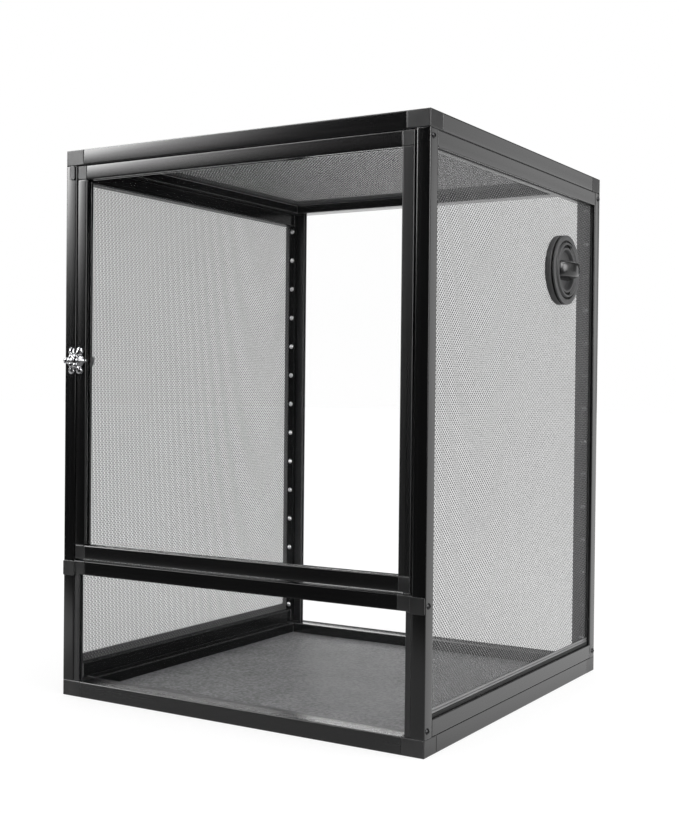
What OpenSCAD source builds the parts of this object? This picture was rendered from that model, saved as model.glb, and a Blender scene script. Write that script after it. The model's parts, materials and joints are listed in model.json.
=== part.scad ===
// Free-standing mesh cage for reptiles: hollow rail frames with moulded corner blocks, a clear
// hinged door over a clear lower window, woven screens at the sides and top, a turn latch on the
// door and a twist-lock feed port in the right screen.
// Lengths are in millimetres. The front faces -Y and +Z is up. The origin is under the middle of
// the floor board, on the surface that the cage stands on.

/* [Overall] */
// Width of the cage across the side panels
cage_w = 457.2; // [380:0.1:700]
// Depth of the cage from front to rear
cage_d = 457.2; // [380:0.1:700]
// Height of the cage
cage_h = 609.6; // [560:0.1:1000]

/* [Rails] */
// Height of the top and bottom frame rails
band_h = 17.5; // [15:0.5:24]
// Width of the top and bottom frame rails, and the side of their corner blocks
band_w = 25.4; // [23:0.2:30]
// Thickness of the side panels
panel_t = 15; // [13:0.5:18]
// Width of the side panels' stiles, seen from the side
stile_w = 16; // [15:0.5:20]
// Height of the side panels' top and bottom rails
rail_h = 16.5; // [15:0.5:22]
// Wall of the hollow rails
wall = 1.3; // [1:0.1:1.8]
// Rounding along the rails' edges
bar_round = 1; // [0.4:0.1:1.2]

/* [Screens] */
// Depth of the groove that holds a screen
slot_deep = 4; // [3:0.25:4.5]
// Distance from a rail's outer face to the groove
slot_at = 3.5; // [2.5:0.25:4.5]
// Thickness of the screen
net_t = 1.2; // [0.8:0.1:1.6]
// Width of a strand of the screen
net_wire = 1.6; // [1:0.1:2.5]
// Distance between strands of the screen, about
net_pitch = 28.4; // [28:0.1:45]
// Thickness of the spline that locks the screen in its groove
spline_t = 2; // [1.5:0.1:2.5]
// Height of the binding strip along a side screen's lower edge
binding_h = 5; // [4:0.5:12]

/* [Door] */
// Width of the door's stiles
door_stile_w = 13; // [12:0.5:18]
// Height of the door's top and bottom rails
door_rail_h = 15.5; // [14:0.5:22]
// Thickness of the door
door_t = 12; // [11:0.5:14]
// Gap between the door and a side post
door_side_gap = 2; // [1:0.1:3]
// Gap over the door
door_top_gap = 0.8; // [0.5:0.1:2]
// Gap under the door
door_low_gap = 2.2; // [1:0.1:4]
// Thickness of the clear panes
pane_t = 3; // [2:0.5:4]
// Radius of the door's pivot pins
pin_r = 2; // [1.5:0.1:2.2]
// Distance from the door's right edge to the pivot
pivot_side = 4.2; // [4:0.1:4.6]
// Distance from the door's front face to the pivot
pivot_front = 4; // [3.8:0.1:4.2]

/* [Middle rail] */
// Height of the middle rail's top over the ground
mid_top = 152.4; // [110:0.1:240]
// Height of the middle rail
mid_h = 15.4; // [14:0.2:22]
// Thickness of the middle rail
mid_t = 13; // [12:0.5:16]
// Width of the bracket's block beside the post
bracket_w = 16; // [14:0.5:24]
// Thickness of the bracket's flange on the post's face
flange_t = 1.6; // [1:0.1:3]

/* [Panes and channels] */
// Width of the strips that hold the lower window
window_strip_w = 7; // [6:0.5:12]
// Width of the strips that hold the back pane
back_strip_w = 11; // [8:0.5:16]
// Thickness of these strips, front to back
strip_d = 8; // [7:0.5:12]
// Thickness of the floor board
floor_t = 5; // [4:0.5:8]

/* [Latch] */
// Height of the latch over the ground
latch_z = 375; // [260:1:500]
// Radius of the latch knob's shell
shell_r = 10.5; // [8:0.25:12]
// Reach of the latch tongue behind the post
tongue_reach = 13; // [10:0.5:14]

/* [Feed port] */
// Distance from the cage's top to the port's centre
port_drop = 122.6; // [90:0.1:200]
// Distance from the cage's rear to the port's centre
port_from_rear = 121.6; // [80:0.1:200]
// Radius of the turning plug
plug_r = 26; // [22:0.5:28]
// Width of the port's flange round the plug
port_band = 14; // [12:0.5:20]

/* [Fasteners] */
// Distance from a panel's end to its screw
screw_drop = 7.5; // [6:0.1:9]
// Radius of the screws' shanks
screw_r = 1.5; // [1:0.1:1.8]
// Distance from a rear stile's end to its first rivet
rivet_end = 23.6; // [22:0.1:60]
// Number of rivets on a rear stile
rivet_count = 14; // [4:1:14]

/* [Hidden] */
$fn = 48;
// Overrun of cuts, and the fits between pieces
over = 1;
fit = 0.2;
slide_fit = 0.15;
run_fit = 0.05;
turn_gap = 0.3;

// Joints of the rail frames
spigot_len = 14;
key_leg = 34;
key_reach = 26;
peg_r = 3;
peg_len = 8;

// Main places
half_w = cage_w / 2;
half_d = cage_d / 2;
panel_z0 = band_h;
panel_z1 = cage_h - band_h;
panel_h = panel_z1 - panel_z0;
side_rail_len = cage_d - 2 * stile_w;
post_in = half_w - panel_t;

// Grooves and screens
slot_w = spline_t + net_t + fit;
net_in = slot_deep - fit;
net_v = slot_at + spline_t + fit / 2;
top_open_w = cage_w - 2 * band_w;
top_open_d = cage_d - 2 * band_w;
side_open_d = cage_d - 2 * stile_w;
side_open_h = panel_h - 2 * rail_h;
binding_t = 1.5;
binding_gap = 3.5;
crease_h = 0.8;
crease_deep = 0.9;

// Places across a hollow rail: the peg, screw and rivet lines
function hollow_w(w, lip) = w - lip - 2 * wall;
stile_hollow = hollow_w(stile_w, slot_deep);
rail_hollow = hollow_w(rail_h, slot_deep);
band_hollow = hollow_w(band_w, slot_deep);
panel_hollow = panel_t - 2 * wall;
peg_y = wall + stile_hollow / 2;
peg_x = panel_t / 2;
rivet_v = (slot_at + slot_w + panel_t) / 2;

// Door
door_half = half_w - panel_t - door_side_gap;
door_z0 = mid_top + door_low_gap;
door_z1 = panel_z1 - door_top_gap;
door_h = door_z1 - door_z0;
door_slot_at = 4.8;
door_slot_deep = 4;
door_slot_w = pane_t + 2 * slide_fit;
door_hollow = hollow_w(door_stile_w, door_slot_deep);
door_rail_hollow = hollow_w(door_rail_h, door_slot_deep);
door_spigot = 12;
pivot_x = door_half - pivot_side;
pivot_y = -half_d + pivot_front;
pin_seat = 9;
pin_into_frame = 7;

// Middle rail, brackets and the catch block
mid_z0 = mid_top - mid_h;
mid_z1 = mid_top;
mid_len = 2 * (post_in - bracket_w);
flange_h = 16.3;
flange_low = 1.7;
flange_inset = 0.6;
flange_w = panel_t + flange_inset;
flange_round = 1.2;
catch_w = 7;
catch_h = 15.4;
catch_t = 1.8;
catch_inset = 6.4;
catch_round = 1.6;

// Channels and panes
strip_set = 1;
strip_slot = 4.5;
pane_gap = 0.3;
window_half = post_in - window_strip_w + strip_slot - slide_fit;
back_half = post_in - back_strip_w + strip_slot - slide_fit;

// Floor board
tongue_t = 1.8;
tongue_z = wall + fit;
tongue_in = slot_deep - fit;

// Screws and rivets
screw_head_r = 3.2;
screw_head_h = 2;
screw_len = 11;
bracket_screw_bite = 9;
bracket_screw_len = panel_t + bracket_screw_bite;
bracket_screw_z = (mid_z0 + mid_z1) / 2 - flange_low;
rivet_head_r = 3.2;
rivet_head_h = 1.8;
rivet_r = 1.4;
rivet_len = 4;
rivet_pitch = (panel_h - 2 * rivet_end) / (rivet_count - 1);

// Latch, set out from its pivot in the door's left stile
latch_x = -door_half + wall + door_hollow / 2;
latch_gap = 0.8;
spindle_r = 2.4;
stem_r = 4;
stem_h = 3;
shell_h = 7;
rim_h = 1.2;
leg_h = 3.2;
leg_r = 3.6;
leg_root_r = 2.4;
leg_span = 15;
leg_angles = [58, 122, 238, 302];
head_r = 3.9;
head_out = 12.5;
tail_w = 4.6;
tail_len = 17;
plate_r = 6.2;
tongue_plate = 2;
tongue_w = 8;
tongue_gap = 0.4;
latch_head_r = 4;
latch_head_h = 2.2;
spindle_len = latch_gap + stile_w + tongue_gap + tongue_plate;

// Feed port, set out along its axis from the screen's outer face
port_y = half_d - port_from_rear;
port_z = cage_h - port_drop;
port_x0 = half_w - net_v;
port_r = plug_r + port_band;
port_tube_wall = 3;
port_tube_r = plug_r + port_tube_wall;
port_hole_r = port_tube_r + turn_gap;
port_flange_t = 7.5;
port_groove_t = 1.5;
port_groove_in = 2.4;
port_ring_t = 2.2;
port_lip_t = 1.5;
port_lip_in = 3;
port_lip_w = 3.2;
port_round = 0.9;
clamp_t = 2;
clamp_in = 7;
tube_back = 2.4;
lug_t = 3;
lug_out = 2.4;
lug_angle = 38;
notch_angle = 46;
lug_turn = 90;
seat_h = port_flange_t + port_groove_t - lug_t - 2 * turn_gap;
plug_face = port_flange_t + port_groove_t + port_ring_t;
dish_deep = 6;
grip_w = 18;
grip_out = 13.3;
grip_round = 34;

rail_black = [0.07, 0.07, 0.08];
block_grey = [0.2, 0.2, 0.21];
net_grey = [0.3, 0.3, 0.31];
rubber_black = [0.1, 0.1, 0.1];
floor_grey = [0.44, 0.44, 0.45];
pane_clear = [0.85, 0.92, 0.95, 0.3];
screw_black = [0.12, 0.12, 0.13];
chrome_grey = [0.8, 0.8, 0.82];
steel_grey = [0.6, 0.6, 0.62];

// Shared shapes

// A rectangle with round corners, from the origin
module rounded_box(w, h, r) {
    translate([r, 0]) square([w - 2 * r, h]);
    translate([0, r]) square([w, h - 2 * r]);
    for (x = [r, w - r], y = [r, h - r])
        translate([x, y]) circle(r);
}

// A box whose edges are all round, from the origin
module soft_box(size, r) {
    intersection() {
        linear_extrude(size.z) rounded_box(size.x, size.y, r);
        translate([0, size.y, 0]) rotate([90, 0, 0])
            linear_extrude(size.y) rounded_box(size.x, size.z, r);
        rotate([90, 0, 90]) linear_extrude(size.x) rounded_box(size.y, size.z, r);
    }
}

// A hollow rail along Z: X runs from its outer edge to the opening, Y inwards from its face
module hollow_bar(w, t, len, lip) {
    linear_extrude(len) difference() {
        rounded_box(w, t, bar_round);
        translate([wall, wall]) square([hollow_w(w, lip), t - 2 * wall]);
    }
}

// What is modelled at the right, the front or the top is turned to the other side by these
module to_left() { mirror([1, 0, 0]) children(); }
module to_rear() { mirror([0, 1, 0]) children(); }
module to_bottom() { translate([0, 0, cage_h]) mirror([0, 0, 1]) children(); }
module door_flip() { translate([0, 0, door_z0 + door_z1]) mirror([0, 0, 1]) children(); }

// A flat net of square gaps in its border, from the middle of the opening
module net(open_w, open_h) {
    cols = round(open_w / net_pitch);
    rows = round(open_h / net_pitch);
    step = [open_w / cols, open_h / rows];
    difference() {
        square([open_w + 2 * net_in, open_h + 2 * net_in], center = true);
        for (c = [0 : cols - 1], r = [0 : rows - 1])
            translate([(c - (cols - 1) / 2) * step.x, (r - (rows - 1) / 2) * step.y])
                square([step.x - net_wire, step.y - net_wire], center = true);
    }
}

// Four spline strips that fill a groove round an opening, from the middle of the opening
module spline_ring(open_w, open_h) {
    for (s = [-1, 1]) {
        translate([s * (open_w + net_in) / 2, 0])
            square([net_in, open_h + 2 * net_in], center = true);
        translate([0, s * (open_h + net_in) / 2])
            square([open_w, net_in], center = true);
    }
}

// A domed head with its flat side at z = 0
module domed_head(r, h) {
    ball = (r * r + h * h) / (2 * h);
    intersection() {
        translate([0, 0, h - ball]) sphere(ball);
        cylinder(r = r + over, h = h + over);
    }
}

// Top and bottom frames

// A frame rail along X at the top, with its outer edge at y = -dist
module band_rail(len, dist) {
    translate([len / 2, -dist, cage_h]) rotate([-90, 0, 90])
        hollow_bar(band_w, band_h, len, slot_deep);
}

module front_band() { band_rail(top_open_w, half_d); }
module right_band() { rotate([0, 0, 90]) band_rail(top_open_d, half_w); }

// The groove that the top screen sits in
module top_groove() {
    translate([0, 0, cage_h - slot_at - slot_w / 2])
        cube([top_open_w + 2 * slot_deep, top_open_d + 2 * slot_deep, slot_w], center = true);
}

// The groove that the floor board's tongue sits in
module floor_groove() {
    translate([0, 0, tongue_z + tongue_t / 2])
        cube([top_open_w + 2 * slot_deep, top_open_d + 2 * slot_deep, tongue_t + 2 * fit],
            center = true);
}

// The front right corner block at the top: spigots for two rails and a socket for a panel's peg
module band_block() {
    spigot = [spigot_len, band_hollow - 2 * fit, band_h - 2 * wall - 2 * fit];
    spigot_z = cage_h - band_h + wall + fit;
    difference() {
        union() {
            translate([half_w - band_w, -half_d, cage_h - band_h])
                soft_box([band_w, band_w, band_h], bar_round);
            translate([half_w - band_w - spigot.x, -half_d + wall + fit, spigot_z])
                cube([spigot.x + over, spigot.y, spigot.z]);
            translate([half_w - wall - fit - spigot.y, -half_d + band_w - over, spigot_z])
                cube([spigot.y, spigot.x + over, spigot.z]);
        }
        translate([half_w - peg_x, -half_d + peg_y, cage_h - band_h - over])
            cylinder(r = peg_r + fit, h = peg_len + fit + over);
    }
}

module top_front_rail() { color(rail_black) difference() { front_band(); top_groove(); } }
module top_rear_rail() { color(rail_black) difference() { to_rear() front_band(); top_groove(); } }
module top_left_rail() { color(rail_black) difference() { to_left() right_band(); top_groove(); } }
module top_right_rail() { color(rail_black) difference() { right_band(); top_groove(); } }

module top_corner_blocks() {
    color(block_grey) difference() {
        union() {
            to_left() band_block();
            to_rear() band_block();
            to_left() to_rear() band_block();
        }
        top_groove();
    }
}

// The block over the door's pivot, with the bore that the upper pin turns in
module top_hinge_block() {
    color(block_grey) difference() {
        band_block();
        top_groove();
        translate([pivot_x, pivot_y, panel_z1 - over])
            cylinder(r = pin_r + run_fit, h = pin_into_frame + fit + over);
    }
}

module top_mesh() {
    color(net_grey) translate([0, 0, cage_h - net_v - net_t])
        linear_extrude(net_t) net(top_open_w, top_open_d);
}

module top_spline() {
    color(rubber_black) translate([0, 0, cage_h - slot_at - spline_t])
        linear_extrude(spline_t) spline_ring(top_open_w, top_open_d);
}

module bottom_front_rail() {
    color(rail_black) difference() { to_bottom() front_band(); floor_groove(); }
}
module bottom_rear_rail() {
    color(rail_black) difference() { to_bottom() to_rear() front_band(); floor_groove(); }
}
module bottom_left_rail() {
    color(rail_black) difference() { to_bottom() to_left() right_band(); floor_groove(); }
}
module bottom_right_rail() {
    color(rail_black) difference() { to_bottom() right_band(); floor_groove(); }
}

module bottom_corner_blocks() {
    color(block_grey) difference() {
        to_bottom() {
            band_block();
            to_left() band_block();
            to_rear() band_block();
            to_left() to_rear() band_block();
        }
        floor_groove();
    }
}

// The board between the bottom rails, with a tongue all round in their grooves
module floor_board() {
    color(floor_grey) {
        translate([-top_open_w / 2 + fit, -top_open_d / 2 + fit, 0])
            cube([top_open_w - 2 * fit, top_open_d - 2 * fit, floor_t]);
        translate([0, 0, tongue_z + tongue_t / 2])
            cube([top_open_w + 2 * tongue_in, top_open_d + 2 * tongue_in, tongue_t], center = true);
    }
}

// Side panels, modelled at the right

module stile_bar() {
    translate([half_w, -half_d, panel_z0]) rotate([0, 0, 90])
        hollow_bar(stile_w, panel_t, panel_h, slot_deep);
}

module side_rail_bar() {
    translate([half_w, -side_rail_len / 2, panel_z1]) rotate([0, 90, 90])
        hollow_bar(rail_h, panel_t, side_rail_len, slot_deep);
}

module side_groove() {
    translate([half_w - slot_at - slot_w / 2, 0, cage_h / 2])
        cube([slot_w, side_open_d + 2 * slot_deep, side_open_h + 2 * slot_deep], center = true);
}

// The hole in a stile's lip that a corner key's foot goes through, at the front top
module key_window() {
    translate([post_in + wall, -half_d + wall + stile_hollow - over, panel_z1 - wall - rail_hollow])
        cube([panel_hollow, slot_deep + wall + 2 * over, rail_hollow]);
}

// A hole across a panel at the screws' line, at the front, for a shank of the given radius
module screw_hole(z, r) {
    translate([post_in - over, -half_d + peg_y, z]) rotate([0, 90, 0])
        cylinder(r = r, h = panel_t + 2 * over);
}

// A screw's hole in a stile's outer wall alone
module wall_hole(z) {
    translate([half_w - wall - over, -half_d + peg_y, z]) rotate([0, 90, 0])
        cylinder(r = screw_r + fit, h = wall + 2 * over);
}

module side_stile_cuts() {
    side_groove();
    key_window();
    to_bottom() key_window();
    wall_hole(panel_z1 - screw_drop);
    to_bottom() wall_hole(panel_z1 - screw_drop);
}

module front_stile() {
    difference() {
        stile_bar();
        side_stile_cuts();
        screw_hole(bracket_screw_z, screw_r + fit);
    }
}

// The places of the rivets on a rear stile's lip, on the face towards the screen
module rivet_places() {
    for (i = [0 : rivet_count - 1])
        translate([half_w - rivet_v, half_d - stile_w,
                cage_h / 2 + (i - (rivet_count - 1) / 2) * rivet_pitch])
            rotate([90, 0, 0]) children();
}

module rear_stile() {
    difference() {
        to_rear() {
            difference() {
                stile_bar();
                side_stile_cuts();
            }
        }
        rivet_places() translate([0, 0, -rivet_len]) cylinder(r = rivet_r, h = rivet_len + over);
    }
}

module side_rail() { difference() { side_rail_bar(); side_groove(); } }

// The key inside the front top corner: a leg in the stile, a foot in the rail and a peg above
module corner_key() {
    leg_w = stile_hollow - 2 * fit;
    foot_h = rail_hollow - 2 * fit;
    deep = panel_hollow - 2 * fit;
    start = [post_in + wall + fit, -half_d + wall + fit];
    difference() {
        union() {
            translate([start.x, start.y, panel_z1 - key_leg]) cube([deep, leg_w, key_leg]);
            translate([start.x, start.y, panel_z1 - wall - rail_hollow + fit])
                cube([deep, stile_w + key_reach - wall - fit, foot_h]);
            translate([half_w - peg_x, -half_d + peg_y, panel_z1 - over])
                cylinder(r = peg_r, h = peg_len + over);
        }
        screw_hole(panel_z1 - screw_drop, screw_r);
    }
}

module panel_keys() {
    corner_key();
    to_rear() corner_key();
    to_bottom() corner_key();
    to_bottom() to_rear() corner_key();
}

// Places a flat shape, drawn with Y across and Z up, at a depth under the panel's outer face
module in_panel(depth) {
    translate([half_w - depth, 0, cage_h / 2]) rotate([90, 0, 90]) children();
}

module side_net() { in_panel(net_v + net_t) linear_extrude(net_t) net(side_open_d, side_open_h); }

// The spline stands out of the lower groove as far as the binding strip
module side_spline() {
    in_panel(slot_at + spline_t) linear_extrude(spline_t) {
        spline_ring(side_open_d, side_open_h);
        translate([-side_open_d / 2 + fit, -side_open_h / 2 - slot_deep / 2])
            square([side_open_d - 2 * fit, slot_deep / 2 + binding_gap - fit]);
    }
}

// The strip along the screen's lower edge, on the screen's outer face, creased along its middle
module side_binding() {
    low = panel_z0 + rail_h + binding_gap;
    len = side_open_d - 2 * fit;
    translate([half_w - net_v, -len / 2, low]) difference() {
        cube([binding_t, len, binding_h]);
        translate([binding_t - crease_deep, -over, (binding_h - crease_h) / 2])
            cube([crease_deep + over, len + 2 * over, crease_h]);
    }
}

module side_rivets() {
    rivet_places() {
        domed_head(rivet_head_r, rivet_head_h);
        translate([0, 0, -rivet_len]) cylinder(r = rivet_r, h = rivet_len + rivet_head_h / 2);
    }
}

module left_front_stile() { color(rail_black) to_left() front_stile(); }
module left_rear_stile() { color(rail_black) to_left() rear_stile(); }
module left_top_rail() { color(rail_black) to_left() side_rail(); }
module left_bottom_rail() { color(rail_black) to_left() to_bottom() side_rail(); }
module left_corner_keys() { color(block_grey) to_left() panel_keys(); }
module left_mesh() { color(net_grey) to_left() side_net(); }
module left_spline() { color(rubber_black) to_left() side_spline(); }
module left_mesh_binding() { color(net_grey) to_left() side_binding(); }
module left_rivets() { color(steel_grey) to_left() side_rivets(); }

module right_front_stile() { color(rail_black) front_stile(); }
module right_rear_stile() { color(rail_black) rear_stile(); }
module right_top_rail() { color(rail_black) side_rail(); }
module right_bottom_rail() { color(rail_black) to_bottom() side_rail(); }
module right_corner_keys() { color(block_grey) panel_keys(); }
module right_spline() { color(rubber_black) side_spline(); }
module right_mesh_binding() { color(net_grey) side_binding(); }
module right_rivets() { color(steel_grey) side_rivets(); }

// The right screen has a round hole for the feed port
module right_mesh() {
    color(net_grey) difference() {
        side_net();
        port_frame() translate([0, 0, -net_t - over])
            cylinder(r = port_hole_r, h = net_t + 2 * over);
    }
}

// Back pane, lower window and the strips that hold them

// A strip along Z beside a post, from x0 to the post, with a groove for a pane's edge
module pane_strip(w, y0, z0, z1) {
    difference() {
        translate([post_in - w, y0, z0]) linear_extrude(z1 - z0) rounded_box(w, strip_d, bar_round);
        translate([post_in - w - over, y0 + strip_d / 2 - pane_t / 2 - slide_fit, z0 - over])
            cube([strip_slot + over, pane_t + 2 * slide_fit, z1 - z0 + 2 * over]);
    }
}

module back_strip() { pane_strip(back_strip_w, half_d - strip_set - strip_d, panel_z0, panel_z1); }
module window_strip() { pane_strip(window_strip_w, -half_d + strip_set, panel_z0, mid_z0); }

module back_left_strip() { color(rail_black) to_left() back_strip(); }
module back_right_strip() { color(rail_black) back_strip(); }
module window_left_strip() { color(rail_black) to_left() window_strip(); }
module window_right_strip() { color(rail_black) window_strip(); }

module back_pane() {
    color(pane_clear)
        translate([-back_half, half_d - strip_set - strip_d / 2 - pane_t / 2, panel_z0])
            cube([2 * back_half, pane_t, panel_h - pane_gap]);
}

module lower_window() {
    color(pane_clear)
        translate([-window_half, -half_d + strip_set + strip_d / 2 - pane_t / 2, panel_z0])
            cube([2 * window_half, pane_t, mid_z0 - panel_z0 - pane_gap]);
}

// Middle rail and its brackets

module mid_rail() {
    color(rail_black) translate([-mid_len / 2, -half_d, mid_z1]) rotate([0, 90, 0])
        hollow_bar(mid_h, mid_t, mid_len, 0);
}

// The right bracket: a block beside the post, a spigot in the rail and a flange on the post's face
module mid_bracket() {
    spigot = [spigot_len, mid_t - 2 * wall - 2 * fit, mid_h - 2 * wall - 2 * fit];
    difference() {
        union() {
            translate([post_in - bracket_w, -half_d, mid_z0])
                soft_box([bracket_w, mid_t, mid_h], bar_round);
            translate([post_in - bracket_w - spigot.x, -half_d + wall + fit, mid_z0 + wall + fit])
                cube([spigot.x + over, spigot.y, spigot.z]);
            translate([half_w - flange_inset - flange_w, -half_d, mid_z0 - flange_low])
                rotate([90, 0, 0]) linear_extrude(flange_t)
                    rounded_box(flange_w, flange_h, flange_round);
            translate([post_in - 2 * bar_round, -half_d - flange_t / 2, mid_z0 + bar_round])
                cube([2 * bar_round, flange_t, mid_h - flange_low - 2 * bar_round]);
        }
        screw_tip = post_in - bracket_screw_len + panel_t;
        translate([screw_tip, -half_d + peg_y, bracket_screw_z]) rotate([0, 90, 0])
            cylinder(r = screw_r, h = post_in - screw_tip + over);
    }
}

module mid_left_bracket() { color(block_grey) to_left() mid_bracket(); }

// The right bracket has the bore that the door's lower pin turns in
module mid_right_bracket() {
    color(block_grey) difference() {
        mid_bracket();
        translate([pivot_x, pivot_y, mid_z1 - pin_into_frame - fit])
            cylinder(r = pin_r + run_fit, h = pin_into_frame + fit + over);
    }
}

// The small block on the left post beside the door's upper corner
module catch_block() {
    color(block_grey)
        translate([-half_w + catch_inset, -half_d, panel_z1 - catch_h])
            rotate([90, 0, 0]) linear_extrude(catch_t) rounded_box(catch_w, catch_h, catch_round);
}

// Screws through the side panels, with their heads outside

module side_screw(z, len) {
    translate([half_w, -half_d + peg_y, z]) rotate([0, 90, 0]) {
        domed_head(screw_head_r, screw_head_h);
        translate([0, 0, -len]) cylinder(r = screw_r, h = len + screw_head_h / 2);
    }
}

module end_screws() {
    side_screw(panel_z1 - screw_drop, screw_len);
    to_bottom() side_screw(panel_z1 - screw_drop, screw_len);
}

module right_screws() {
    end_screws();
    to_rear() end_screws();
    side_screw(bracket_screw_z, bracket_screw_len);
}

module panel_screws() {
    color(screw_black) {
        right_screws();
        to_left() right_screws();
    }
}

// Door, with its corners modelled at the right top

module door_stile_bar() {
    translate([door_half, -half_d, door_z1 - door_rail_h]) rotate([0, 180, 0])
        hollow_bar(door_stile_w, door_t, door_h - 2 * door_rail_h, door_slot_deep);
}

module door_rail_bar() {
    len = 2 * (door_half - door_stile_w);
    translate([-len / 2, -half_d, door_z1]) rotate([0, 90, 0])
        hollow_bar(door_rail_h, door_t, len, door_slot_deep);
}

module door_groove() {
    translate([0, -half_d + door_slot_at + door_slot_w / 2, (door_z0 + door_z1) / 2])
        cube([2 * (door_half - door_stile_w + door_slot_deep), door_slot_w,
            door_h - 2 * (door_rail_h - door_slot_deep)], center = true);
}

module door_block() {
    deep = door_t - 2 * wall - 2 * fit;
    y0 = -half_d + wall + fit;
    difference() {
        union() {
            translate([door_half - door_stile_w, -half_d, door_z1 - door_rail_h])
                soft_box([door_stile_w, door_t, door_rail_h], bar_round);
            translate([door_half - wall - door_hollow + fit, y0, door_z1 - door_rail_h - door_spigot])
                cube([door_hollow - 2 * fit, deep, door_spigot + over]);
            translate([door_half - door_stile_w - door_spigot, y0, door_z1 - wall - door_rail_hollow + fit])
                cube([door_spigot + over, deep, door_rail_hollow - 2 * fit]);
        }
        door_groove();
    }
}

// A bore through the left stile for the latch's spindle
module door_left_stile() {
    color(rail_black) difference() {
        to_left() door_stile_bar();
        door_groove();
        translate([latch_x, -half_d - over, latch_z]) rotate([-90, 0, 0])
            cylinder(r = spindle_r + run_fit, h = door_t + 2 * over);
    }
}
module door_right_stile() { color(rail_black) difference() { door_stile_bar(); door_groove(); } }
module door_top_rail() { color(rail_black) difference() { door_rail_bar(); door_groove(); } }
module door_bottom_rail() {
    color(rail_black) difference() { door_flip() door_rail_bar(); door_groove(); }
}

module door_corner_blocks() {
    color(block_grey) {
        to_left() door_block();
        to_left() door_flip() door_block();
    }
}

// A pin pressed into a right corner block, standing out of it by the given length
module pivot_pin(out) {
    translate([pivot_x, pivot_y, door_z1 - pin_seat]) cylinder(r = pin_r, h = pin_seat + out);
}

module door_hinge_blocks() {
    color(block_grey) difference() {
        union() {
            door_block();
            door_flip() door_block();
        }
        pivot_pin(over);
        door_flip() pivot_pin(over);
    }
}

module door_pane() {
    edge = door_slot_deep - fit;
    color(pane_clear)
        translate([0, -half_d + door_slot_at + door_slot_w / 2, (door_z0 + door_z1) / 2])
            cube([2 * (door_half - door_stile_w + edge), pane_t, door_h - 2 * (door_rail_h - edge)],
                center = true);
}

module hinge_pins() {
    color(steel_grey) {
        pivot_pin(door_top_gap + pin_into_frame);
        door_flip() pivot_pin(door_low_gap + pin_into_frame);
    }
}

// Latch, modelled with its pivot along Z and its knob above z = 0

module latch_frame() {
    translate([latch_x, -half_d - latch_gap, latch_z]) rotate([90, 0, 0]) children();
}

// A paddle-shaped leg from the shell's middle outwards
module knob_leg() {
    linear_extrude(leg_h) {
        translate([0, -leg_root_r]) square([leg_span, 2 * leg_root_r]);
        translate([leg_span, 0]) circle(leg_r);
    }
}

// The domed shell with a rim, turned
module knob_shell() {
    cylinder(r = shell_r, h = rim_h);
    translate([0, 0, rim_h]) domed_head(shell_r - rim_h / 2, shell_h);
}

// The knob: a tortoise-shaped casting with a head, four legs, a bar tail and the spindle
module latch_knob() {
    color(chrome_grey) latch_frame() {
        cylinder(r = stem_r, h = stem_h + rim_h);
        translate([0, 0, stem_h]) {
            translate([0, 0, leg_h / 2]) knob_shell();
            for (a = leg_angles) rotate(a) knob_leg();
            translate([-head_out, 0, leg_h / 2 + rim_h]) sphere(head_r);
            rotate([0, -90, 0]) translate([leg_h / 2 + rim_h, 0, 0])
                cylinder(r = head_r - rim_h, h = head_out);
            translate([0, -tail_w / 2, 0]) soft_box([tail_len, tail_w, tail_w], rim_h);
        }
        translate([0, 0, -spindle_len]) cylinder(r = spindle_r, h = spindle_len + over);
    }
}

// The tongue that turns behind the left post
module latch_tongue() {
    color(steel_grey) latch_frame() translate([0, 0, -spindle_len]) linear_extrude(tongue_plate)
        difference() {
            union() {
                circle(plate_r);
                translate([-tongue_reach + tongue_w / 2, -tongue_w / 2])
                    square([tongue_reach - tongue_w / 2, tongue_w]);
                translate([-tongue_reach + tongue_w / 2, 0]) circle(tongue_w / 2);
            }
            circle(spindle_r);
        }
}

// The screw that holds the tongue on the spindle
module latch_screw() {
    color(steel_grey) latch_frame() translate([0, 0, -spindle_len]) mirror([0, 0, 1])
        domed_head(latch_head_r, latch_head_h);
}

// Feed port, modelled with its axis along Z and the screen's outer face at z = 0

module port_frame() {
    translate([port_x0, port_y, port_z]) rotate([90, 0, 90]) children();
}

// A turned ring with round outer edges
module turned_ring(r_in, r_out, h, r) {
    rotate_extrude() translate([r_in, 0]) {
        square([r_out - r_in - r, h]);
        translate([0, r]) square([r_out - r_in, h - 2 * r]);
        for (y = [r, h - r])
            translate([r_out - r_in - r, y]) circle(r);
    }
}

// A pair of sectors across a ring, on opposite sides
module sector_pair(angle, r_in, r_out, h) {
    for (a = [0, 180])
        rotate(a - angle / 2) rotate_extrude(angle = angle)
            translate([r_in, 0]) square([r_out - r_in, h]);
}

// The flange outside the screen: a seat for the plug, a wider space for its lugs and a neck
module port_flange() {
    neck_r = port_r - port_groove_in;
    lug_r = plug_r + lug_out + turn_gap;
    color(rail_black) port_frame() difference() {
        union() {
            turned_ring(plug_r, port_r, port_flange_t, port_round);
            translate([0, 0, port_flange_t - over])
                cylinder(r = neck_r, h = port_groove_t + over);
            translate([0, 0, -net_t - tube_back]) cylinder(r = port_tube_r, h = net_t + tube_back + over);
        }
        translate([0, 0, -net_t - tube_back - over])
            cylinder(r = plug_r + turn_gap, h = net_t + tube_back + port_flange_t + port_groove_t + 2 * over);
        translate([0, 0, seat_h]) cylinder(r = lug_r, h = plug_face);
    }
}

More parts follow.
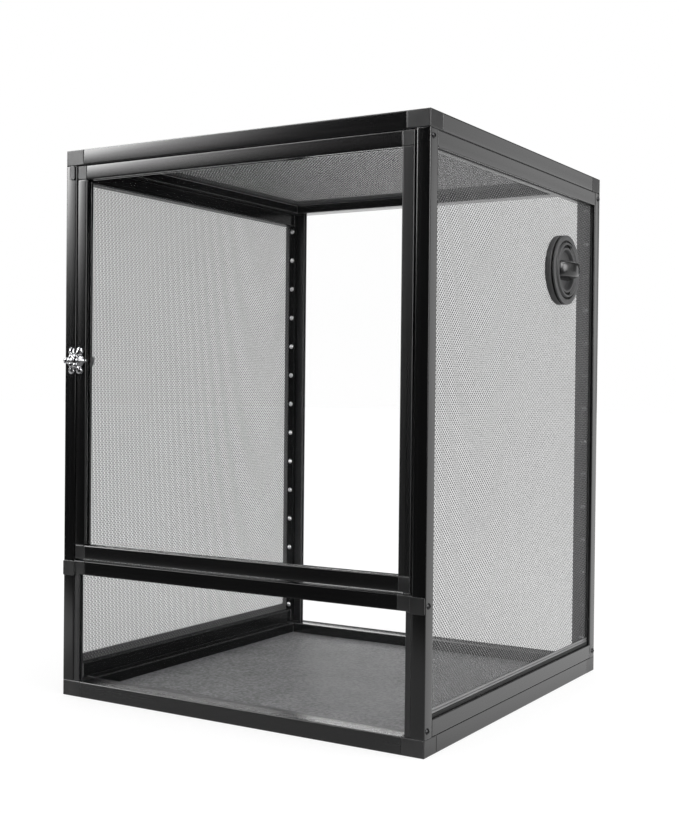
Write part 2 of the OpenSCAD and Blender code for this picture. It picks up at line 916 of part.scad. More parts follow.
// The ring in front of the plug's lugs, with a raised lip and two notches that the lugs pass
module port_ring() {
    lip_r = plug_r + port_lip_in + port_lip_w;
    color(rail_black) port_frame() translate([0, 0, port_flange_t + port_groove_t]) difference() {
        union() {
            turned_ring(plug_r, port_r, port_ring_t, port_round);
            turned_ring(plug_r + port_lip_in, lip_r, port_ring_t + port_lip_t, port_round / 2);
        }
        translate([0, 0, -over]) cylinder(r = plug_r + turn_gap, h = port_ring_t + 2 * over);
        rotate(lug_turn) translate([0, 0, -over])
            sector_pair(notch_angle, plug_r - over, plug_r + lug_out + turn_gap, port_ring_t + 2 * over);
    }
}

// The ring inside the cage that clamps the screen against the flange
module port_clamp_ring() {
    color(rail_black) port_frame() translate([0, 0, -net_t - clamp_t])
        turned_ring(port_tube_r + slide_fit, port_r - clamp_in, clamp_t, port_round);
}

// The turning plug: a dished face, a round grip across it and a lug on each side
module port_plug() {
    color(rail_black) port_frame() {
        difference() {
            cylinder(r = plug_r, h = plug_face);
            translate([0, 0, plug_face - dish_deep])
                cylinder(r = plug_r - port_lip_in, h = dish_deep + over);
            translate([0, 0, -over])
                cylinder(r = plug_r - port_lip_in, h = plug_face - dish_deep - port_lip_w + over);
        }
        intersection() {
            union() {
                translate([-plug_r, -grip_w / 2, plug_face - dish_deep - port_lip_w / 2])
                    cube([2 * plug_r, grip_w, dish_deep + port_lip_w / 2 + grip_out - grip_w / 2]);
                translate([-plug_r, 0, plug_face + grip_out - grip_w / 2]) rotate([0, 90, 0])
                    cylinder(r = grip_w / 2, h = 2 * plug_r);
            }
            translate([0, 0, plug_face + grip_out - grip_round]) sphere(grip_round);
            cylinder(r = plug_r - port_lip_in / 2, h = plug_face + grip_out + over);
        }
        translate([0, 0, seat_h + turn_gap])
            sector_pair(lug_angle, plug_r - port_lip_in / 2, plug_r + lug_out, lug_t);
    }
}

top_front_rail();
top_rear_rail();
top_left_rail();
top_right_rail();
top_corner_blocks();
top_hinge_block();
top_mesh();
top_spline();
bottom_front_rail();
bottom_rear_rail();
bottom_left_rail();
bottom_right_rail();
bottom_corner_blocks();
floor_board();
left_front_stile();
left_rear_stile();
left_top_rail();
left_bottom_rail();
left_corner_keys();
left_mesh();
left_spline();
left_mesh_binding();
left_rivets();
right_front_stile();
right_rear_stile();
right_top_rail();
right_bottom_rail();
right_corner_keys();
right_mesh();
right_spline();
right_mesh_binding();
right_rivets();
back_left_strip();
back_right_strip();
back_pane();
mid_rail();
mid_left_bracket();
mid_right_bracket();
window_left_strip();
window_right_strip();
lower_window();
catch_block();
panel_screws();
door_left_stile();
door_right_stile();
door_top_rail();
door_bottom_rail();
door_corner_blocks();
door_hinge_blocks();
door_pane();
hinge_pins();
latch_knob();
latch_tongue();
latch_screw();
port_flange();
port_ring();
port_clamp_ring();
port_plug();
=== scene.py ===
"""Looks of a free-standing mesh reptile cage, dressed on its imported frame.

Lengths are in metres. The front faces -Y, +Z is up, and the cage stands on z = 0.
"""
import json
import logging
import math
from collections.abc import Iterable, Sequence
from dataclasses import dataclass, field, replace
from enum import Enum
from functools import cache

import bmesh
import bpy
from mathutils import Matrix, Vector


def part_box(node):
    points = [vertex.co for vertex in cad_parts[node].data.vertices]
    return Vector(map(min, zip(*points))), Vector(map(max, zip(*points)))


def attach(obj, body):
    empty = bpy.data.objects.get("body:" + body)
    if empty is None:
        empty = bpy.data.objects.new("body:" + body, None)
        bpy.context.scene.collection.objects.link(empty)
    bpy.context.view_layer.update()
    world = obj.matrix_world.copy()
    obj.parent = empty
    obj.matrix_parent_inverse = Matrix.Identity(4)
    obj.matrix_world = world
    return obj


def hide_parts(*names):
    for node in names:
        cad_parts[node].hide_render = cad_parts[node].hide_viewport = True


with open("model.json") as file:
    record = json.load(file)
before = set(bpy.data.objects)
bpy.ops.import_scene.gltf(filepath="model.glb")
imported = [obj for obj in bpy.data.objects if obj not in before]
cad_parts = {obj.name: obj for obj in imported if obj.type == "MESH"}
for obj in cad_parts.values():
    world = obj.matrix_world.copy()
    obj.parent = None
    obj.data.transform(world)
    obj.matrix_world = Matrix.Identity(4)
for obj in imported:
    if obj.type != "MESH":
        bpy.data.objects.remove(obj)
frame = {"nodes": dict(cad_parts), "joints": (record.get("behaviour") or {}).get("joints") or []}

log = logging.getLogger("cage")

MM = 0.001
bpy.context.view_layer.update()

Mesh = bmesh.types.BMesh
Node = bpy.types.Node
Socket = bpy.types.NodeSocket
Pair = tuple[float, float]
Triple = tuple[float, float, float]
Floats = Sequence[float]

UNIT: Pair = (0.0, 1.0)
WHITE = (1.0, 1.0, 1.0, 1.0)
EVEN: Triple = (1.0, 1.0, 1.0)
ORIGIN: Triple = (0.0, 0.0, 0.0)
UP: Triple = (0.0, 0.0, 1.0)
QUARTER = math.pi / 2.0
FULL_TURN = 360.0
BEVEL_SAMPLES = 8
WELD_GAP = 1e-7


class Axis(Enum):
    """A direction of the frame that a rail, a strand or a finish runs along."""

    X = 0
    Y = 1
    Z = 2

    @property
    def unit(self) -> Vector:
        """The unit vector along this axis."""
        return Vector([1.0 if i == self.value else 0.0 for i in range(3)])


class Body(Enum):
    """The rigid bodies that pieces ride on."""

    CAGE = "cage"
    DOOR = "door"
    LATCH = "latch"
    FEED_PLUG = "feed_plug"


# Shader helpers


def grey(tone: float, blue: float) -> Triple:
    """A grey whose blue part may differ a little."""
    return (tone, tone, blue)


class Bench:
    """A node tree being wired: one material's, one group's or the world's."""

    def __init__(self, tree: bpy.types.NodeTree) -> None:
        """Keeps the tree to wire, and its Principled shader where it has one."""
        self.tree = tree
        self.shader = tree.nodes.get("Principled BSDF")

    def feed(self, node: Node, socket: str | int, value: object) -> None:
        """Sets an input, or links it where the value is another node's output.

        Args:
            node: the node.
            socket: the input's name or number.
            value: its value or an output socket.
        """
        if isinstance(value, Socket):
            self.tree.links.new(value, node.inputs[socket])
        else:
            node.inputs[socket].default_value = value

    def set(self, node: Node, **values: object) -> None:
        """Sets a node's properties and inputs.

        Args:
            node: the node.
            values: properties by name, or inputs by name with spaces as underscores.
        """
        for name, value in values.items():
            if hasattr(node, name):
                setattr(node, name, value)
            else:
                self.feed(node, name.replace("_", " "), value)

    def add(self, kind: str, *inputs: object, **values: object) -> Node:
        """Adds a node.

        Args:
            kind: its type without the ShaderNode prefix.
            inputs: its first inputs, in order.
            values: its properties and inputs by name.

        Returns:
            The new node.
        """
        node = self.tree.nodes.new("ShaderNode" + kind)
        self.set(node, **values)
        for number, value in enumerate(inputs):
            self.feed(node, number, value)
        return node

    def math(self, operation: str, *inputs: object) -> Socket:
        """The number that a Math node makes of its inputs."""
        return self.add("Math", *inputs, operation=operation).outputs["Value"]

    def vector(self, operation: str, *inputs: object) -> Socket:
        """The vector that a VectorMath node makes of its inputs."""
        return self.add("VectorMath", *inputs, operation=operation).outputs["Vector"]

    def dot(self, first: object, second: object) -> Socket:
        """The dot product of two vectors, which tells how far directions agree."""
        return self.add("VectorMath", first, second, operation="DOT_PRODUCT").outputs["Value"]

    def eased(self, radius: float) -> Socket:
        """The mesh's normal, rounded at edges by a radius."""
        return self.add("Bevel", radius, samples=BEVEL_SAMPLES).outputs["Normal"]

    def place(self, scale: Floats = EVEN) -> Socket:
        """Object coordinates, scaled along X, Y and Z."""
        spot = self.add("TexCoord").outputs["Object"]
        return self.add("Mapping", spot, Scale=scale).outputs["Vector"]

    def choose(self, mask: Socket, off: Socket, on: Socket) -> Socket:
        """One shader where the mask is 0 and another where it is 1."""
        return self.add("MixShader", mask, off, on).outputs["Shader"]

    def span(self, value: Socket, source: Pair = UNIT, target: Pair = UNIT, smooth: bool = False) -> Socket:
        """A value mapped from one span to another, clamped, and eased at both ends where it is smooth."""
        ease = "SMOOTHSTEP" if smooth else "LINEAR"
        return self.add("MapRange", value, *source, *target, interpolation_type=ease).outputs["Result"]

    def tint(self, mask: Socket, dark: Floats | Socket, light: Floats) -> Socket:
        """The mix of two colours by a mask; the dark one, where the mask is 0, may be a socket."""
        first = dark if isinstance(dark, Socket) else (*dark, 1.0)
        return self.add("MixRGB", mask, first, (*light, 1.0), blend_type="MIX").outputs["Color"]

    def texture(self, texture: "Texture", scales: Pair, stretch: Floats = EVEN) -> Sequence[Socket]:
        """The height and the blotches of a shared texture, by the scales of its fine and slow noise."""
        node = self.add("Group", node_tree=texture.tree(), Vector=self.place(stretch), Fine=scales[0],
                        Slow=scales[1])
        return node.outputs["Height"], node.outputs["Blotch"]


@dataclass(frozen=True)
class Texture:
    """A node group that finishes share: a fine noise gives a height, a slow one gives blotches.

    Each noise has a detail and a roughness; the blotches are full over a span of the slow noise.
    """

    name: str
    fine: Pair
    slow: Pair
    blotch: Pair

    @cache
    def tree(self) -> bpy.types.NodeTree:
        """The group, built at its first use.

        Returns:
            The group's node tree.
        """
        tree = bpy.data.node_groups.new(self.name, "ShaderNodeTree")
        tree.interface.new_socket("Vector", in_out="INPUT", socket_type="NodeSocketVector")
        for name, way in (("Fine", "INPUT"), ("Slow", "INPUT"), ("Height", "OUTPUT"), ("Blotch", "OUTPUT")):
            tree.interface.new_socket(name, in_out=way, socket_type="NodeSocketFloat")
        bench = Bench(tree)
        entry = tree.nodes.new("NodeGroupInput").outputs
        leave = tree.nodes.new("NodeGroupOutput")
        fine, slow = (
            bench.add("TexNoise", Vector=entry["Vector"], Scale=entry[name], Detail=detail, Roughness=rough)
            for name, (detail, rough) in (("Fine", self.fine), ("Slow", self.slow)))
        bench.feed(leave, "Height", fine.outputs["Fac"])
        bench.feed(leave, "Blotch", bench.span(slow.outputs["Fac"], self.blotch))
        return tree


GRAIN = Texture("fine_grain", fine=(2.0, 0.6), slow=(4.0, 0.55), blotch=(0.3, 0.7))
DRAWN_LINES = Texture("drawn_lines", fine=(3.0, 0.7), slow=(2.0, 0.5), blotch=(0.35, 0.65))


# Finishes


@dataclass(frozen=True)
class Finish:
    """What every finish has; the slot is the record's, and the grain is the scales of its two noises."""

    name: str
    slot: str
    light: Triple = grey(0.013, 0.0133)
    roughness: Pair = (0.28, 0.38)
    sheen: float = 0.5
    grain: Pair = (1600.0, 40.0)
    relief: float = 0.04 * MM

    def wire(self, bench: Bench) -> None:
        """Wires the shader on the material's bench."""
        raise NotImplementedError

    def _coat(self, bench: Bench, colour: Socket, wear: Socket, height: Socket | None = None,
              normal: Socket | None = None) -> None:
        """Feeds the shader's colour, roughness, sheen and relief.

        Args:
            bench: the material's bench.
            colour: the colour's socket.
            wear: mask from the first roughness to the second.
            height: the relief's height, where it has one.
            normal: the normal that the relief stands on, where it isn't the mesh's own.
        """
        rough = bench.span(wear, UNIT, self.roughness)
        bench.set(bench.shader, Base_Color=colour, Roughness=rough, Specular_IOR_Level=self.sheen)
        if height is not None:
            bump = bench.add("Bump", Strength=1.0, Distance=self.relief, Height=height)
            bench.feed(bench.shader, "Normal", bump.outputs["Normal"])
            if normal is not None:
                bench.feed(bump, "Normal", normal)


@dataclass(frozen=True)
class RailFinish(Finish):
    """Black coated rail with faint drawn lines along it, eased edges and faces crowned a little across it."""

    along: Axis = Axis.X
    dark: Triple = grey(0.0022, 0.0024)
    light: Triple = grey(0.0034, 0.0036)
    roughness: Pair = (0.12, 0.17)
    grain: Pair = (2200.0, 9.0)
    lines: Pair = (900.0, 108.0)
    stretch: float = 0.006
    relief: float = 0.0012 * MM
    edge: float = 1.6 * MM
    centre: tuple[float, ...] = ORIGIN
    half: tuple[float, ...] = EVEN
    crown: float = 0.0
    # painted edge highlight: the pale tone of the edges, and the span of the normals' agreement that it fades
    # over
    painted_edge_highlight: float = 0.0
    painted_edge_highlight_over: Pair = (0.985, 0.88)

    def wire(self, bench: Bench) -> None:
        """Wires the shader; a painted edge highlight makes its edges paler, where it has one.

        Args:
            bench: the material's bench.
        """
        eased = bench.eased(self.edge)
        stretch = [self.stretch if axis is self.along else 1.0 for axis in Axis]
        height, streak = bench.texture(DRAWN_LINES, self.lines, stretch)
        colour = bench.tint(bench.texture(GRAIN, self.grain)[1], self.dark, self.light)
        # Painted highlight: edges, where the eased normal turns off the face's own, get a paler colour.
        if self.painted_edge_highlight > 0.0:
            facing = bench.dot(eased, bench.add("NewGeometry").outputs["Normal"])
            colour = bench.tint(bench.span(facing, self.painted_edge_highlight_over), colour, grey(self.painted_edge_highlight, self.painted_edge_highlight))
        slope = [0.0 if axis is self.along else self.crown / self.half[axis.value] for axis in Axis]
        lean = bench.vector("MULTIPLY", bench.vector("SUBTRACT", bench.place(), self.centre), slope)
        ways = {"vector_type": "VECTOR", "convert_from": "OBJECT", "convert_to": "WORLD"}
        swung = bench.add("VectorTransform", lean, **ways).outputs["Vector"]
        crowned = bench.vector("NORMALIZE", bench.vector("ADD", eased, swung))
        self._coat(bench, colour, streak, height, crowned)


@dataclass(frozen=True)
class MouldedFinish(Finish):
    """Moulded plastic with a fine grain."""

    dark: Triple = grey(0.007, 0.0073)
    edge: float = 0.7 * MM

    def wire(self, bench: Bench) -> None:
        """Wires the shader on the material's bench."""
        height, blotch = bench.texture(GRAIN, self.grain)
        self._coat(bench, bench.tint(blotch, self.dark, self.light), blotch, height, bench.eased(self.edge))


@dataclass(frozen=True)
class BoardFinish(Finish):
    """Grey board with a fine dark and pale speckle."""

    dark: Triple = grey(0.05, 0.052)
    light: Triple = grey(0.29, 0.296)
    roughness: Pair = (0.5, 0.7)
    grain: Pair = (300.0, 14.0)
    relief: float = 0.12 * MM
    speck_over: Pair = (0.36, 0.64)
    speck_share: float = 0.8
    blotch_share: float = 0.25

    def wire(self, bench: Bench) -> None:
        """Wires the shader.

        Args:
            bench: the material's bench.
        """
        height, blotch = bench.texture(GRAIN, self.grain)
        specks = bench.span(height, self.speck_over)
        soft = bench.math("MULTIPLY", blotch, self.blotch_share)
        both = bench.math("MULTIPLY_ADD", specks, self.speck_share, soft)
        mask = bench.math("MINIMUM", both, 1.0)
        self._coat(bench, bench.tint(mask, self.dark, self.light), specks, height)


@dataclass(frozen=True)
class StrandFinish(Finish):
    """Coated screen wire, with a painted highlight on the crests that stand out of the weave and painted
    shade where it dives under.
    """

    normal: Axis = Axis.X
    valley: float = 0.0
    crest: float = 1.0 * MM
    dark: Triple = grey(0.03, 0.031)
    roughness: Pair = (0.6, 0.38)
    sheen: float = 0.3
    grain: Pair = (900.0, 11.0)
    blotch_tones: Pair = (0.8, 1.0)

    def wire(self, bench: Bench) -> None:
        """Wires the shader.

        Args:
            bench: the material's bench.
        """
        parts = bench.add("SeparateXYZ", bench.place())
        # Painted highlight and shade: the colour runs from the dark tone in the valleys to the light one on
        # the crests.
        rise = bench.span(parts.outputs[self.normal.name], (self.valley, self.crest))
        blotch = bench.span(bench.texture(GRAIN, self.grain)[1], UNIT, self.blotch_tones)
        self._coat(bench, bench.tint(bench.math("MULTIPLY", rise, blotch), self.dark, self.light), rise)


@dataclass(frozen=True)
class ClearFinish(Finish):
    """Clear polished sheet, with a faint haze that varies over it."""

    light: Triple = (0.9, 0.94, 0.95)
    grain: Pair = (240.0, 5.0)
    haze: Pair = (0.002, 0.006)
    polish: float = 0.03

    def wire(self, bench: Bench) -> None:
        """Wires the shader on the material's bench."""
        haze = bench.span(bench.texture(GRAIN, self.grain)[1], UNIT, self.haze)
        bench.set(bench.shader, Base_Color=(*self.light, 1.0), Roughness=self.polish, Alpha=haze)


@dataclass(frozen=True)
class MetalFinish(Finish):
    """Bare or plated metal with faint smears."""

    roughness: Pair = (0.2, 0.32)
    grain: Pair = (700.0, 120.0)
    relief: float = 0.02 * MM
    metallic: float = 1.0
    smear: float = 0.86

    def wire(self, bench: Bench) -> None:
        """Wires the shader.

        Args:
            bench: the material's bench.
        """
        height, blotch = bench.texture(GRAIN, self.grain)
        smeared = [part * self.smear for part in self.light]
        self._coat(bench, bench.tint(blotch, smeared, self.light), blotch, height)
        bench.feed(bench.shader, "Metallic", self.metallic)


@cache
def paint(finish: Finish) -> bpy.types.Material:
    """A finish's material, made at its first use.

    Args:
        finish: the finish.

    Returns:
        The material.
    """
    material = bpy.data.materials.new(finish.name)
    material.use_nodes = True
    finish.wire(Bench(material.node_tree))
    return material


# Mesh helpers


def at(place: Floats, scale: Floats = EVEN) -> Matrix:
    """The matrix that scales a form along X, Y and Z and moves it to a place."""
    return Matrix.Translation(place) @ Matrix.Diagonal((*scale, 1.0))


def boxed(bm: Mesh, size: Floats, centre: Floats) -> None:
    """Adds a box of three lengths about its centre."""
    bmesh.ops.create_cube(bm, size=1.0, matrix=at(centre, size))


def ball(bm: Mesh, radius: float, matrix: Matrix, steps: tuple[int, int] = (20, 12)) -> None:
    """Adds a ball with faces round it and from pole to pole."""
    bmesh.ops.create_uvsphere(bm, u_segments=steps[0], v_segments=steps[1], radius=radius, matrix=matrix)


def rod(bm: Mesh, radius: float, length: float, matrix: Matrix, steps: int = 16, taper: float = 0.0) -> None:
    """Adds a capped rod along Z about its middle, thinner at its upper end by the taper."""
    bmesh.ops.create_cone(bm, cap_ends=True, segments=steps, radius1=radius, radius2=radius - taper,
                          depth=length, matrix=matrix)


def turned(outline: Sequence[Pair], steps: int) -> Mesh:
    """Spins an outline about the Z axis.

    Args:
        outline: points of radius and height, in order; it closes on itself where it doesn't meet the axis.
        steps: faces round the turn.

    Returns:
        The turned mesh.
    """
    bm = bmesh.new()
    ring = [bm.verts.new((radius, 0.0, height)) for radius, height in outline]
    edges = [bm.edges.new(pair) for pair in zip(ring, ring[1:])]
    if outline[0][0] > 0.0 and outline[-1][0] > 0.0:
        edges.append(bm.edges.new((ring[-1], ring[0])))
    bmesh.ops.spin(bm, geom=ring + edges, cent=ORIGIN, axis=UP, dvec=ORIGIN, angle=2.0 * math.pi, steps=steps,
                   use_merge=True, use_duplicate=False)
    bmesh.ops.remove_doubles(bm, verts=bm.verts[:], dist=WELD_GAP)
    bmesh.ops.recalc_face_normals(bm, faces=bm.faces[:])
    return bm


def soften(bm: Mesh, width: float, least_angle: float = 30.0, segments: int = 3) -> None:
    """Rounds every edge whose faces meet at more than an angle, in degrees."""
    sharp = [edge for edge in bm.edges
             if edge.is_manifold and edge.calc_face_angle(0.0) > math.radians(least_angle)]
    bmesh.ops.bevel(bm, geom=sharp, offset=width, offset_type="OFFSET", affect="EDGES", segments=segments,
                    profile=0.5, material=-1, clamp_overlap=True)


def merge(bm: Mesh, other: Mesh) -> None:
    """Adds another mesh to a mesh.

    Args:
        bm: the mesh to add to.
        other: the other mesh, freed here.
    """
    mesh = bpy.data.meshes.new("part")
    other.to_mesh(mesh)
    other.free()
    bm.from_mesh(mesh)
    bpy.data.meshes.remove(mesh)


def in_scene(bm: Mesh, name: str) -> bpy.types.Object:
    """Puts a mesh in a new object of the scene.

    Args:
        bm: the mesh, freed here.
        name: the object's name.

    Returns:
        The object.
    """
    made = bpy.data.objects.new(name, bpy.data.meshes.new(name))
    bm.to_mesh(made.data)
    bm.free()
    bpy.context.scene.collection.objects.link(made)
    return made


def worked(made: bpy.types.Object, *tools: bpy.types.Object) -> Mesh:
    """The mesh of an object after its modifiers.

    Args:
        made: the object, removed here.
        tools: the objects that its modifiers use, removed too.

    Returns:
        The mesh.
    """
    bpy.context.view_layer.update()
    bm = bmesh.new()
    bm.from_object(made, bpy.context.evaluated_depsgraph_get())
    for spent in (made, *tools):
        bpy.data.objects.remove(spent)
    return bm


def piece_from(bm: Mesh, name: str, finishes: Sequence[Finish], body: Body, replaced: Iterable[str] = (),
               smooth_angle: float = 35.0) -> None:
    """Makes a finished piece of a mesh and lets it ride on a body.

    Args:
        bm: the mesh, freed here.
        name: the piece's name.
        finishes: its finishes.
        body: the body that it rides on.
        replaced: the nodes that it stands for.
        smooth_angle: faces that meet at less than this angle, in degrees, shade as one.
    """
    piece = in_scene(bm, name)
    for finish in finishes:
        piece.data.materials.append(paint(finish))
    piece.data.shade_smooth()
    piece.data.set_sharp_from_angle(angle=math.radians(smooth_angle))
    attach(piece, body.value)
    if replaced:
        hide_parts(*replaced)
    log.info("%s: %d faces on %s", name, len(piece.data.polygons), body.value)


# The finishes of this cage

# The rails along X, and the mid rail and sill copied from them, get a paler coat than the others: painted
# light lifting the tone of the rails that face the front.
RAIL = {
    Axis.X: RailFinish("black_rail_x", "rail_black", dark=grey(0.0045, 0.0047), light=grey(0.0062, 0.0064),
                       crown=0.062),
    Axis.Y: RailFinish("black_rail_y", "rail_black", along=Axis.Y),
    Axis.Z: RailFinish("black_rail_z", "rail_black", along=Axis.Z, crown=0.05),
}
MID_RAIL = replace(RAIL[Axis.X], name="black_mid_rail", sheen=0.2, crown=0.0)
SILL = replace(RAIL[Axis.X], name="black_sill", roughness=(0.23, 0.29))
HINGE_STILE = replace(RAIL[Axis.Z], name="black_hinge_stile", roughness=(0.26, 0.32), crown=0.0)
# The inner rails get a painted highlight along their edges.
INNER_RAIL = replace(RAIL[Axis.Y], name="black_inner_rail", sheen=0.08, painted_edge_highlight=0.6, edge=2.0 * MM)
INNER_POST = replace(RAIL[Axis.Z], name="black_inner_post", sheen=0.12, crown=0.0)
STRIP = RailFinish("black_strip", "strip_plastic", along=Axis.Z, dark=grey(0.006, 0.0065),
                   light=grey(0.011, 0.0115), roughness=(0.34, 0.46))
BLOCK = MouldedFinish("corner_block_plastic", "block_plastic")
BINDING = MouldedFinish("binding_strip", "screen_binding", dark=grey(0.15, 0.152), light=grey(0.21, 0.212))
# A darker copy of the binding: painted shade for the strip inside the cage.
INNER_BINDING = replace(BINDING, name="binding_strip_painted_shade", dark=grey(0.007, 0.0072),
                        light=grey(0.011, 0.0112), sheen=0.08)
SPLINE = MouldedFinish("spline_rubber", "spline_rubber", dark=grey(0.006, 0.006), light=grey(0.012, 0.012),
                       roughness=(0.6, 0.75))
BOARD = BoardFinish("speckled_board", "floor_plastic")
CLEAR = ClearFinish("clear_sheet", "clear_pane")
# One wire in three copies whose tones are painted light and shade: each matches how its screen is lit, and
# the top one is darkest as painted shade on its underside.
RIGHT_WIRE = StrandFinish("right_screen_wire", "screen_wire", light=grey(0.31, 0.312))
LEFT_WIRE = StrandFinish("left_screen_wire", "screen_wire", light=grey(0.42, 0.422))
TOP_WIRE = StrandFinish("top_screen_wire", "screen_wire", dark=grey(0.008, 0.0082), light=grey(0.022, 0.0222),
                        sheen=0.15)
CHROME = MetalFinish("latch_chrome", "latch_chrome", light=grey(0.3, 0.31), roughness=(0.03, 0.07),
                     relief=0.8 * MM, grain=(280.0, 120.0))
STEEL = MetalFinish("plain_steel", "pin_steel", light=grey(0.16, 0.165))
ZINC = MetalFinish("zinc_plate", "pin_steel", light=grey(0.55, 0.56), roughness=(0.3, 0.4), metallic=0.5)
# The left rivets are near-white and only partly metallic so their heads show as bright dots: a painted glint;
# the right ones keep plain steel.
RIVET = MetalFinish("rivet_steel", "rivet_steel", light=grey(0.9, 0.91), roughness=(0.14, 0.2),
                    relief=0.004 * MM, metallic=0.35)
SCREW = MetalFinish("black_screw", "screw_black", light=grey(0.035, 0.036), roughness=(0.3, 0.42))
PORT_RIM = MouldedFinish("port_grained_plastic", "port_plastic", dark=grey(0.036, 0.037),
                         light=grey(0.075, 0.076), roughness=(0.5, 0.62), grain=(900.0, 40.0),
                         relief=0.22 * MM)
PORT_SMOOTH = MouldedFinish("port_smooth_plastic", "port_plastic", dark=grey(0.014, 0.0142),
                            light=grey(0.02, 0.0202), roughness=(0.2, 0.27), relief=0.008 * MM)
PORT_GAP = MouldedFinish("port_shaded_gap", "port_plastic", dark=grey(0.0015, 0.0015),
                         light=grey(0.0025, 0.0025), roughness=(0.7, 0.8))


# Sub-assemblies


@dataclass
class FrameDress:
    """The rails, blocks, strips, panes and small parts that keep the frame's own solids."""

    rails: dict[RailFinish, tuple[str, ...]] = field(default_factory=lambda: {
        RAIL[Axis.X]: ("top_front_rail", "top_rear_rail", "bottom_rear_rail", "door_top_rail",
                       "door_bottom_rail"),
        SILL: ("bottom_front_rail",),
        RAIL[Axis.Y]: ("top_right_rail", "bottom_right_rail", "right_top_rail", "right_bottom_rail"),
        RAIL[Axis.Z]: ("left_front_stile", "right_front_stile", "right_rear_stile", "door_left_stile"),
    })
    others: dict[Finish, tuple[str, ...]] = field(default_factory=lambda: {
        BLOCK: ("top_corner_blocks", "top_hinge_block", "bottom_corner_blocks", "left_corner_keys",
                "right_corner_keys", "mid_left_bracket", "mid_right_bracket", "catch_block",
                "door_corner_blocks", "door_hinge_blocks"),
        MID_RAIL: ("mid_rail",),
        HINGE_STILE: ("door_right_stile",),
        INNER_RAIL: ("top_left_rail", "bottom_left_rail", "left_top_rail", "left_bottom_rail"),
        INNER_POST: ("left_rear_stile",),
        STRIP: ("back_left_strip", "back_right_strip", "window_left_strip", "window_right_strip"),
        BINDING: ("right_mesh_binding",),
        INNER_BINDING: ("left_mesh_binding",),
        SPLINE: ("top_spline", "left_spline", "right_spline"),
        BOARD: ("floor_board",),
        CLEAR: ("back_pane", "lower_window", "door_pane"),
        SCREW: ("hinge_pins",),
        STEEL: ("right_rivets",),
        ZINC: ("latch_tongue", "latch_screw"),
        RIVET: ("left_rivets",),
    })

    def dress(self) -> None:
        """Puts each node's finish on it; each rail has its own, fitted to its box."""
        fitted = [(self._fitted(rail, name), name) for rail, names in self.rails.items() for name in names]
        shared = [(finish, name) for finish, names in self.others.items() for name in names]
        for finish, name in fitted + shared:
            materials = frame["nodes"][name].data.materials
            materials.clear()
            materials.append(paint(finish))
            log.info("%s: %s", name, finish.name)

    def _fitted(self, finish: RailFinish, name: str) -> RailFinish:
        """The finish of one rail, crowned about that rail's middle."""
        low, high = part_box(name)
        return replace(finish, name=f"black_{name}", centre=tuple((low + high) / 2.0),
                       half=tuple((high - low) / 2.0))


